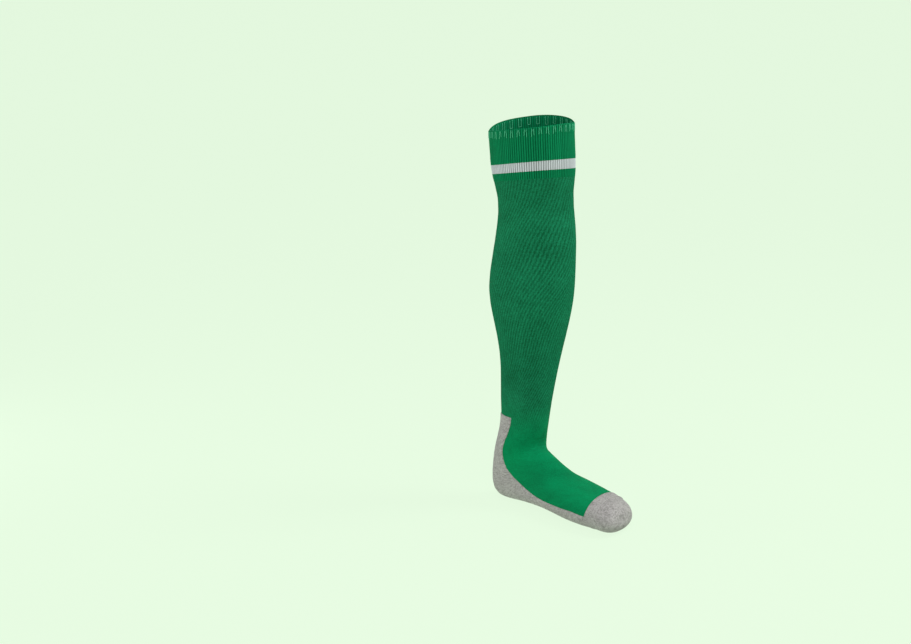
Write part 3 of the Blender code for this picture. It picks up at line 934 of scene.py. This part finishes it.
class SOCK_OT_cuff(bpy.types.Operator):
    """Makes the turned top edge, the green ribbed bands and the white one"""

    bl_idname = "sock.cuff"
    bl_label = "Ribbed Cuff"

    def execute(self, context):
        sock = Sock.get()
        cuff = context.scene.sock_cuff
        columns = cuff.ribs * POINTS_PER_RIB
        # Painted shade for the gaps between the green ribs: half the darker green.
        gaps = darker(cuff.shade, 0.5)
        green = ribbed_knit("ribbed_green", tuple(cuff.shade), tuple(cuff.green), gaps, ribs_share=0.35)
        dull = darker(cuff.white, 0.8)
        # Painted shade for the gaps between the white ribs.
        white_gap_shade = darker(cuff.white, 0.3)
        white = ribbed_knit("ribbed_white", dull, tuple(cuff.white), white_gap_shade, ribs_share=0.4)
        ribs = rib_relief(cuff.ribs, cuff.rib_depth)
        bands = (
            ("welt", sock.rim, sock.welt_end, 16, WELT_WALL, cuff.welt_lip, green),
            ("cuff_upper", sock.welt_end, sock.stripe_top, 20, CUFF_WALL, 0.0, green),
            ("cuff_stripe", sock.stripe_top, sock.stripe_end, 8, CUFF_WALL, 0.0, white),
            ("cuff_lower", sock.stripe_end, sock.cuff_end, 8, CUFF_WALL, 0.0, green),
        )
        for name, top, end, rows, wall, lip, knit in bands:
            soft = f"{name}_knit"
            piece = tube_piece(soft, top, end, rows, columns, wall, ribs, lip, cuff.ribs, cuff.course)
            place(piece, knit, "white_rib" if knit is white else "green_rib", name)
        thread = plain_thread("pale_thread", tuple(cuff.tick))
        self.ticks(sock, cuff, thread)
        self.loops(sock, cuff, thread)
        return {"FINISHED"}

    def ticks(self, sock, cuff, thread):
        """Pairs of pale threads outside, which hang from the top edge and part downwards. How far they are
        apart, part and wobble is in ribs."""
        steps = 15
        top = 0.0016
        middle_size = 0.86
        change = 0.14
        turn_of_sizes = 2.3
        apart = 0.28
        parting = 0.3
        wobble = 0.06
        down = np.linspace(0.0, 1.0, steps)
        paths = []
        for pair in range(cuff.ribs // cuff.ribs_per_tick):
            for side in (-1, 1):
                size = middle_size + change * math.cos(turn_of_sizes * pair + side)
                ribs = pair * cuff.ribs_per_tick + 1 + side * (apart + parting * down)
                ribs = ribs + wobble * side * np.cos(down * 4 * math.pi)
                depths = top + down * cuff.tick_length * size
                paths.append(self.on_welt(sock, ribs / cuff.ribs, depths, WELT_WALL + THREAD_RISE))
        piece = tubes("welt_ticks", paths, cuff.tick_width / 2, THREAD_SIDES, THREAD_TWIST_STEP)
        place(piece, thread, "green_rib", "welt")

    def loops(self, sock, cuff, thread):
        """Narrow pale loops inside, which hang from the top edge and close at their lower ends. half_width is
        in ribs, side_length in shares of half a loop."""
        count = round(cuff.ribs / cuff.ribs_per_loop)
        steps = 23
        half_width = 0.62
        squareness = 2.4
        side_length = 0.62
        top = 0.0006
        middle_length = 0.0118
        change = 0.001
        turn_of_lengths = 1.9
        start = 0.12
        turn = np.linspace(-1.0, 1.0, steps)
        across = half_width * np.sign(turn) * np.minimum(1.0, squareness * np.abs(turn)) ** 0.7
        bend = np.clip((1 - np.abs(turn)) / side_length, 0, 1)
        down = start + (1 - start) * (1 - (1 - bend) ** 1.6)
        paths = []
        for loop in range(count):
            shares = loop / count + across / cuff.ribs
            depths = top + (middle_length + change * math.cos(turn_of_lengths * loop)) * down
            paths.append(self.on_welt(sock, shares, depths, -THREAD_RISE))
        piece = tubes("welt_loops", paths, cuff.tick_width / 2, THREAD_SIDES, THREAD_TWIST_STEP)
        place(piece, thread, "green_rib", "welt")

    def on_welt(self, sock, shares, depths, height):
        """Points at a height over the inner side of the wall, at lengths below the top edge."""
        ahead = 2.0
        rim = sock.rim(shares)
        near = sock.skin.points(rim, shares)
        far = sock.skin.points(rim + ahead, shares)
        stations = rim + ahead * depths / np.linalg.norm(far - near, axis=1)
        base, normals = sock.skin.points_and_normals(stations, shares)
        return base + normals * height


class SOCK_OT_leg(bpy.types.Operator):
    """Makes the plain-knit leg from the cuff to the heel tab"""

    bl_idname = "sock.leg"
    bl_label = "Leg"

    def execute(self, context):
        sock = Sock.get()
        leg = context.scene.sock_leg

        def relief(shares, ways):
            side = np.abs((shares * leg.wales) % 1.0 * 2 - 1)
            fade = np.clip((ways.max() - ways) / WALE_FADE, 0, 1)
            return leg.wale_depth * (1 - side**2) * fade

        columns = leg.wales * POINTS_PER_WALE
        piece = tube_piece(
            "leg_knit", sock.cuff_end, sock.tab_top, 84, columns, LEG_WALL, relief, 0.0, leg.wales, leg.course
        )
        knit = green_knit("plain_green", leg, context.scene.sock_foot)
        place(piece, knit, "green_knit", "leg")
        return {"FINISHED"}


def patch_places(top, end, left, right, rows, columns):
    """Stations and shares of a grid between two lines across and two edges along the sock."""
    down = np.broadcast_to(np.linspace(0, 1, rows + 1)[:, None], (rows + 1, columns + 1))
    across = np.broadcast_to(np.linspace(0, 1, columns + 1), (rows + 1, columns + 1))
    shares = 0.0 * across
    for _ in range(EDGE_ROUNDS):
        first = top(shares)
        stations = first + (end(shares) - first) * down
        start = left(stations)
        shares = start + (right(stations) - start) * across
    return stations, shares


def patch_piece(name, stations, shares, wall, edges, edge_reach, wales, course):
    """A piece with four sides. edges says which of its sides, left, right, top, are rounded down."""
    sock = Sock.get()
    base, normals = sock.skin.points_and_normals(stations, shares)
    across = np.cumsum(np.linalg.norm(np.diff(base, axis=1), axis=2), axis=1)
    across = np.concatenate([np.zeros((len(base), 1)), across], axis=1)
    down = down_lengths(base)
    distances = {"left": across, "right": across[:, -1:] - across, "top": down}
    drop = np.ones(down.shape)
    for side in edges:
        near = np.clip(1 - distances[side] / edge_reach, 0, 1)
        drop = drop * np.sqrt(np.maximum(1 - near**2, 0))
    height = wall * (EDGE_WALL + (1 - EDGE_WALL) * drop)
    outer = base + normals * height[..., None]
    knit = np.stack([shares * wales, down / course], axis=-1)
    return shell(name, outer, base, knit, knit, around=False)


class SOCK_OT_foot(bpy.types.Operator):
    """Makes the green instep and the grey heel, sole and toe cap"""

    bl_idname = "sock.foot"
    bl_label = "Foot"

    def execute(self, context):
        sock = Sock.get()
        foot = context.scene.sock_foot
        leg = context.scene.sock_leg
        green = bpy.data.materials["plain_green"]
        grey = grey_marl("speckled_grey", tuple(foot.grey_dark), tuple(foot.grey_light))

        def inner_under(stations):
            return sock.inner_edge(stations) - UNDER_EDGE

        def outer_under(stations):
            return sock.outer_edge(stations) + 1 + UNDER_EDGE

        under = (inner_under, outer_under)
        padded = (sock.outer_edge, sock.inner_edge)
        upper = ("green_knit", green, LEG_WALL, leg)
        lower = ("grey_marl", grey, GREY_WALL, foot)
        patches = (
            ("instep", sock.tab_top, sock.toe_start, under, 130, 120, (), upper),
            ("heel", sock.tab_top, sock.heel_end, padded, 90, 110, ("left", "right", "top"), lower),
            ("sole", sock.heel_end, sock.toe_start, padded, 90, 110, ("left", "right"), lower),
        )
        for name, top, end, sides, rows, columns, edges, (slot, knit, wall, stitch) in patches:
            places = patch_places(top, end, *sides, rows, columns)
            piece = patch_piece(f"{name}_knit", *places, wall, edges, foot.edge, stitch.wales, stitch.course)
            place(piece, knit, slot, name)
        self.toe_cap(sock, foot, grey)
        self.toe_seam(foot)
        return {"FINISHED"}

    def toe_seam(self, foot):
        """A linked seam over the toes, from side to side, as a low round cord half sunk in the toe cap. Its
        rise and sink are in widths of the seam."""
        steps = 160
        sides = 10
        end_share = 0.06
        rise = 0.62
        sink = 0.5
        inner, outer = (corner[0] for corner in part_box("toe_seam"))
        turn = np.linspace(0.0, 1.0, steps)
        x = inner + (outer - inner) * turn
        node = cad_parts["toe_seam"]
        corners = np.array([v.co[:] for v in node.data.vertices])
        order = np.argsort(corners[:, 0])
        sorted_x = corners[order, 0]
        path = np.empty((steps, 3))
        path[:, 0] = x
        for axis in (1, 2):
            line = np.interp(x, sorted_x, smooth(corners[order, axis], 6.0, 0, False))
            path[:, axis] = smooth(line, 3.0, 0, False)
        cap = bpy.data.objects["toe_cap_knit"].data
        tree = BVHTree.FromPolygons([v.co for v in cap.vertices], [p.vertices for p in cap.polygons])
        ends = np.clip(np.minimum(turn, 1 - turn) / end_share, 0, 1)
        for k, point in enumerate(path):
            spot, normal, _, _ = tree.find_nearest(Vector(point))
            height = foot.seam_width * (rise * ends[k] - sink)
            path[k] = spot + normal * height
        for axis in range(3):
            path[:, axis] = smooth(path[:, axis], 2.0, 0, False)
        piece = tubes("toe_seam_thread", [path], foot.seam_width / 2, sides, 0.5)
        thread = plain_thread("seam_thread", tuple(foot.grey_light))
        place(piece, thread, "grey_thread", "toe_seam")

    @staticmethod
    def knit_over_tip(points, shares, foot):
        """Places in a knit whose courses run across the tip, from distances to it and shares of the girth."""
        lengths = down_lengths(points)
        lengths = (lengths[-1:] - lengths) / foot.course
        lengths = np.concatenate([lengths, lengths[:, :1]], axis=1)
        turns = 2 * math.pi * np.concatenate([shares, np.ones((len(shares), 1))], axis=1)
        return np.stack([lengths * np.sin(turns), lengths * np.cos(turns)], axis=-1)

    def toe_cap(self, sock, foot, grey):
        """The closed pocket of the toes. Only its edge beside the green instep is rounded down."""
        columns = 200
        rows = np.linspace(0, 1, 61)
        before_tip = 0.8
        side_contrast = 2.2
        last = sock.skin.count - 1

        def tip(shares):
            return np.full(np.shape(shares), last - before_tip)

        stations, shares = tube_places(sock.toe_start, tip, rows, columns)
        base, normals = sock.skin.points_and_normals(stations, shares)
        ways = down_lengths(base)
        turned = shares * 2 * math.pi
        green_side = np.clip(0.5 - side_contrast * np.cos(turned), 0, 1)
        near = np.clip(1 - ways / foot.edge, 0, 1)
        drop = 1 - green_side * (1 - np.sqrt(np.maximum(1 - near**2, 0)))
        outer = base + normals * (GREY_WALL * (EDGE_WALL + (1 - EDGE_WALL) * drop))[..., None]
        knit = self.knit_over_tip(outer, shares, foot)
        end = sock.skin.points(np.array([float(last)]), np.array([0.0]))[0]
        forward = np.array([0.0, -1.0, 0.0])
        ends = (end + forward * GREY_WALL, end)
        piece = shell("toe_cap_knit", outer, base, knit, knit, around=True, tip=ends)
        place(piece, grey, "grey_marl", "toe_cap")


class SOCK_OT_stage(bpy.types.Operator):
    """Sets up the pale floor and backdrop, the soft lights and the camera"""

    bl_idname = "sock.stage"
    bl_label = "Stage"

    def execute(self, context):
        stage = context.scene.sock_stage
        context.scene.view_settings.view_transform = "Standard"
        self.backdrop(tuple(stage.backdrop), stage.glow)
        self.world(tuple(stage.backdrop), stage.glow)
        self.lights()
        self.camera(context.scene, stage)
        return {"FINISHED"}

    def backdrop(self, colour, glow):
        """A floor under the sock that turns up into a wall far behind it."""
        floor = CAD_BOX[0][2]
        half_size = 12.0
        wall_y = 9.0
        bend = 3.0
        bend_steps = 12
        profile = [(-half_size, floor), (wall_y - bend, floor)]
        for k in range(1, bend_steps + 1):
            turned = math.pi / 2 * k / bend_steps
            profile.append((wall_y - bend + bend * math.sin(turned), floor + bend * (1 - math.cos(turned))))
        profile.append((wall_y, floor + half_size))
        turn = bpy.context.scene.sock_stage.azimuth
        points = []
        for y, z in profile:
            for x in (-half_size, half_size):
                across = x * math.cos(turn) - y * math.sin(turn)
                points.append((across, x * math.sin(turn) + y * math.cos(turn), z))
        faces = [(2 * k, 2 * k + 1, 2 * k + 3, 2 * k + 2) for k in range(len(profile) - 1)]
        made = add_mesh("backdrop", points, faces)
        paper = bpy.data.materials.new("backdrop_paper")
        paper.use_nodes = True
        shader = paper.node_tree.nodes["Principled BSDF"]
        shader.inputs["Base Color"].default_value = (*darker(colour, 0.05), 1.0)
        shader.inputs["Emission Color"].default_value = (*colour, 1.0)
        shader.inputs["Emission Strength"].default_value = glow
        shader.inputs["Roughness"].default_value = 1.0
        shader.inputs["Specular IOR Level"].default_value = 0.0
        made.data.materials.append(paper)

    def world(self, colour, glow):
        """Dim pale light from all round, which looks like the backdrop where it is seen directly."""
        world = bpy.data.worlds.new("studio")
        bpy.context.scene.world = world
        world.use_nodes = True
        tree = world.node_tree
        dim = tree.nodes["Background"]
        dim.inputs["Color"].default_value = (*WORLD_TINT, 1.0)
        dim.inputs["Strength"].default_value = WORLD_LIGHT
        seen = tree.nodes.new("ShaderNodeBackground")
        seen.inputs["Color"].default_value = (*colour, 1.0)
        seen.inputs["Strength"].default_value = glow
        rays = tree.nodes.new("ShaderNodeLightPath")
        blend = tree.nodes.new("ShaderNodeMixShader")
        tree.links.new(rays.outputs["Is Camera Ray"], blend.inputs[0])
        tree.links.new(dim.outputs[0], blend.inputs[1])
        tree.links.new(seen.outputs[0], blend.inputs[2])
        tree.links.new(blend.outputs[0], tree.nodes["World Output"].inputs["Surface"])

    def lights(self):
        """Soft boxes on both sides, a little behind the sock, one near the camera and one above it."""
        for name, azimuth, elevation, distance, size, power in LAMPS:
            lamp = bpy.data.lights.new(name, "AREA")
            lamp.shape = "RECTANGLE"
            lamp.size, lamp.size_y = size
            lamp.energy = power
            made = bpy.data.objects.new(name, lamp)
            back = self.direction(math.radians(azimuth), math.radians(elevation))
            made.location = MIDDLE + back * distance
            made.rotation_euler = back.to_track_quat("Z", "Y").to_euler()
            made.visible_camera = False
            bpy.context.scene.collection.objects.link(made)

    @staticmethod
    def direction(azimuth, elevation):
        level = math.cos(elevation)
        return Vector((math.sin(azimuth) * level, -math.cos(azimuth) * level, math.sin(elevation)))

    def camera(self, scene, stage):
        """The camera at the photo's angle. The sock stands right of the picture's middle."""
        picture_width = 911
        picture_height = 644
        middle_x = 556.0
        middle_y = 320.0
        metres_per_pixel = 0.00137
        data = bpy.data.cameras.new("camera")
        data.lens = data.sensor_width * stage.distance / (metres_per_pixel * picture_width)
        data.shift_x = (picture_width / 2 - middle_x) / picture_width
        data.shift_y = (middle_y - picture_height / 2) / picture_width
        made = bpy.data.objects.new("camera", data)
        back = self.direction(stage.azimuth, stage.elevation)
        made.location = MIDDLE + back * stage.distance
        made.rotation_euler = back.to_track_quat("Z", "Y").to_euler()
        scene.collection.objects.link(made)
        scene.camera = made


class SOCK_PT_panel(bpy.types.Panel):
    """Lists the sock's sizes, colours and pieces"""

    bl_idname = "SOCK_PT_panel"
    bl_label = "Sports Sock"
    bl_space_type = "VIEW_3D"
    bl_region_type = "UI"
    bl_category = "Sock"

    def draw(self, context):
        for group, operator in PIECES:
            settings = getattr(context.scene, group)
            box = self.layout.box()
            for name in settings.__annotations__:
                box.prop(settings, name)
            box.operator(operator.bl_idname)


PIECES = (
    ("sock_cuff", SOCK_OT_cuff),
    ("sock_leg", SOCK_OT_leg),
    ("sock_foot", SOCK_OT_foot),
    ("sock_stage", SOCK_OT_stage),
)
SETTINGS = {
    "sock_cuff": CuffSettings,
    "sock_leg": LegSettings,
    "sock_foot": FootSettings,
    "sock_stage": StageSettings,
}
OPERATORS = (SOCK_OT_cuff, SOCK_OT_leg, SOCK_OT_foot, SOCK_OT_stage)


def register():
    for name, group in SETTINGS.items():
        bpy.utils.register_class(group)
        setattr(bpy.types.Scene, name, PointerProperty(type=group))
    for kind in (*OPERATORS, SOCK_PT_panel):
        bpy.utils.register_class(kind)


def unregister():
    for kind in (SOCK_PT_panel, *reversed(OPERATORS)):
        bpy.utils.unregister_class(kind)
    for name, group in reversed(SETTINGS.items()):
        delattr(bpy.types.Scene, name)
        bpy.utils.unregister_class(group)


def main():
    register()
    bpy.ops.sock.cuff()
    bpy.ops.sock.leg()
    bpy.ops.sock.foot()
    bpy.ops.sock.stage()


if __name__ == "__main__":
    main()
